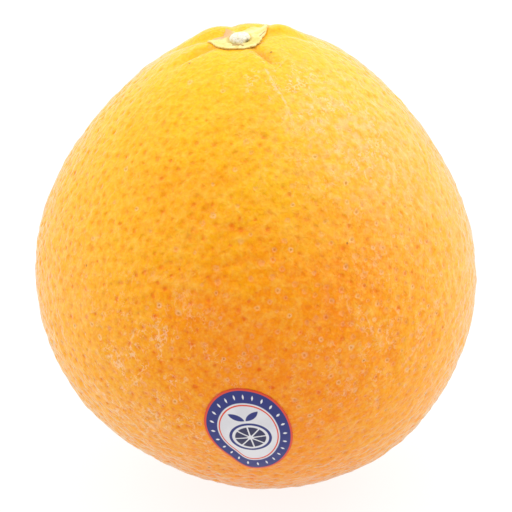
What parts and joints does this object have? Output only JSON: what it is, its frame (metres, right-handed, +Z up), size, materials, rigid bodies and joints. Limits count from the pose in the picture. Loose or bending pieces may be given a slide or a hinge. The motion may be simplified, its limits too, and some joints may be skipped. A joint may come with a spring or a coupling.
{
  "type": "orange",
  "caption": "Whole sweet orange with pitted peel, slightly tapered stem end, furrowed stem basin, calyx with stalk stump, and a plain oval label low on its front.",
  "frame": {"origin": "middle of the flat spot that the fruit rests on", "axes": "+Z up through the stem end, -Y towards the side that carries the label, +X to the right seen from that side"},
  "size_m": [0.0881, 0.0883, 0.0954],
  "materials": {
    "peel": "waxy, pitted citrus peel",
    "calyx": "dry, matt sepal",
    "stump": "rough, corky stalk end",
    "label": "smooth coated label"
  },
  "bodies": {
    "root": {"rind": "peel", "calyx": "calyx", "stem_stub": "stump", "sticker": "label"}
  },
  "joints": []
}
